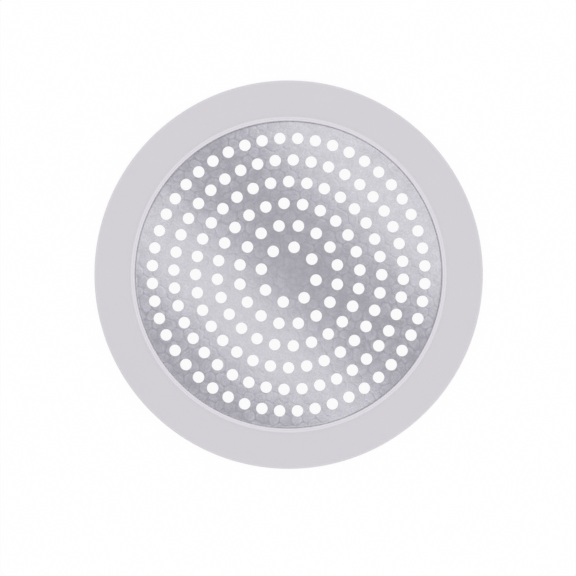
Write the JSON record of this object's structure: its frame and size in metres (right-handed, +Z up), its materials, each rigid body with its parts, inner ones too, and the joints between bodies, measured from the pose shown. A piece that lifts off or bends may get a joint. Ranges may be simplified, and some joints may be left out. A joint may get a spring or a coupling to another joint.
{
  "type": "drain hair catcher",
  "caption": "Shallow domed steel strainer disc with rings of round holes, held by its edge in a wide flat silicone rim that lies round a shower drain.",
  "frame": {"origin": "on the floor that the rim lies on, under the centre of the strainer disc", "axes": "+Z up, square to the floor and along the axis of the disc and rim; +X through the spoke of holes that every ring shares, and any of the eight such spokes will do"},
  "size_m": [0.146, 0.146, 0.0078],
  "materials": {
    "satin_steel": "satin stainless sheet with a faint pebbled sheen",
    "grey_silicone": "matte, light cool grey"
  },
  "bodies": {
    "root": {"strainer_disc": "satin_steel", "silicone_rim": "grey_silicone"}
  },
  "joints": []
}
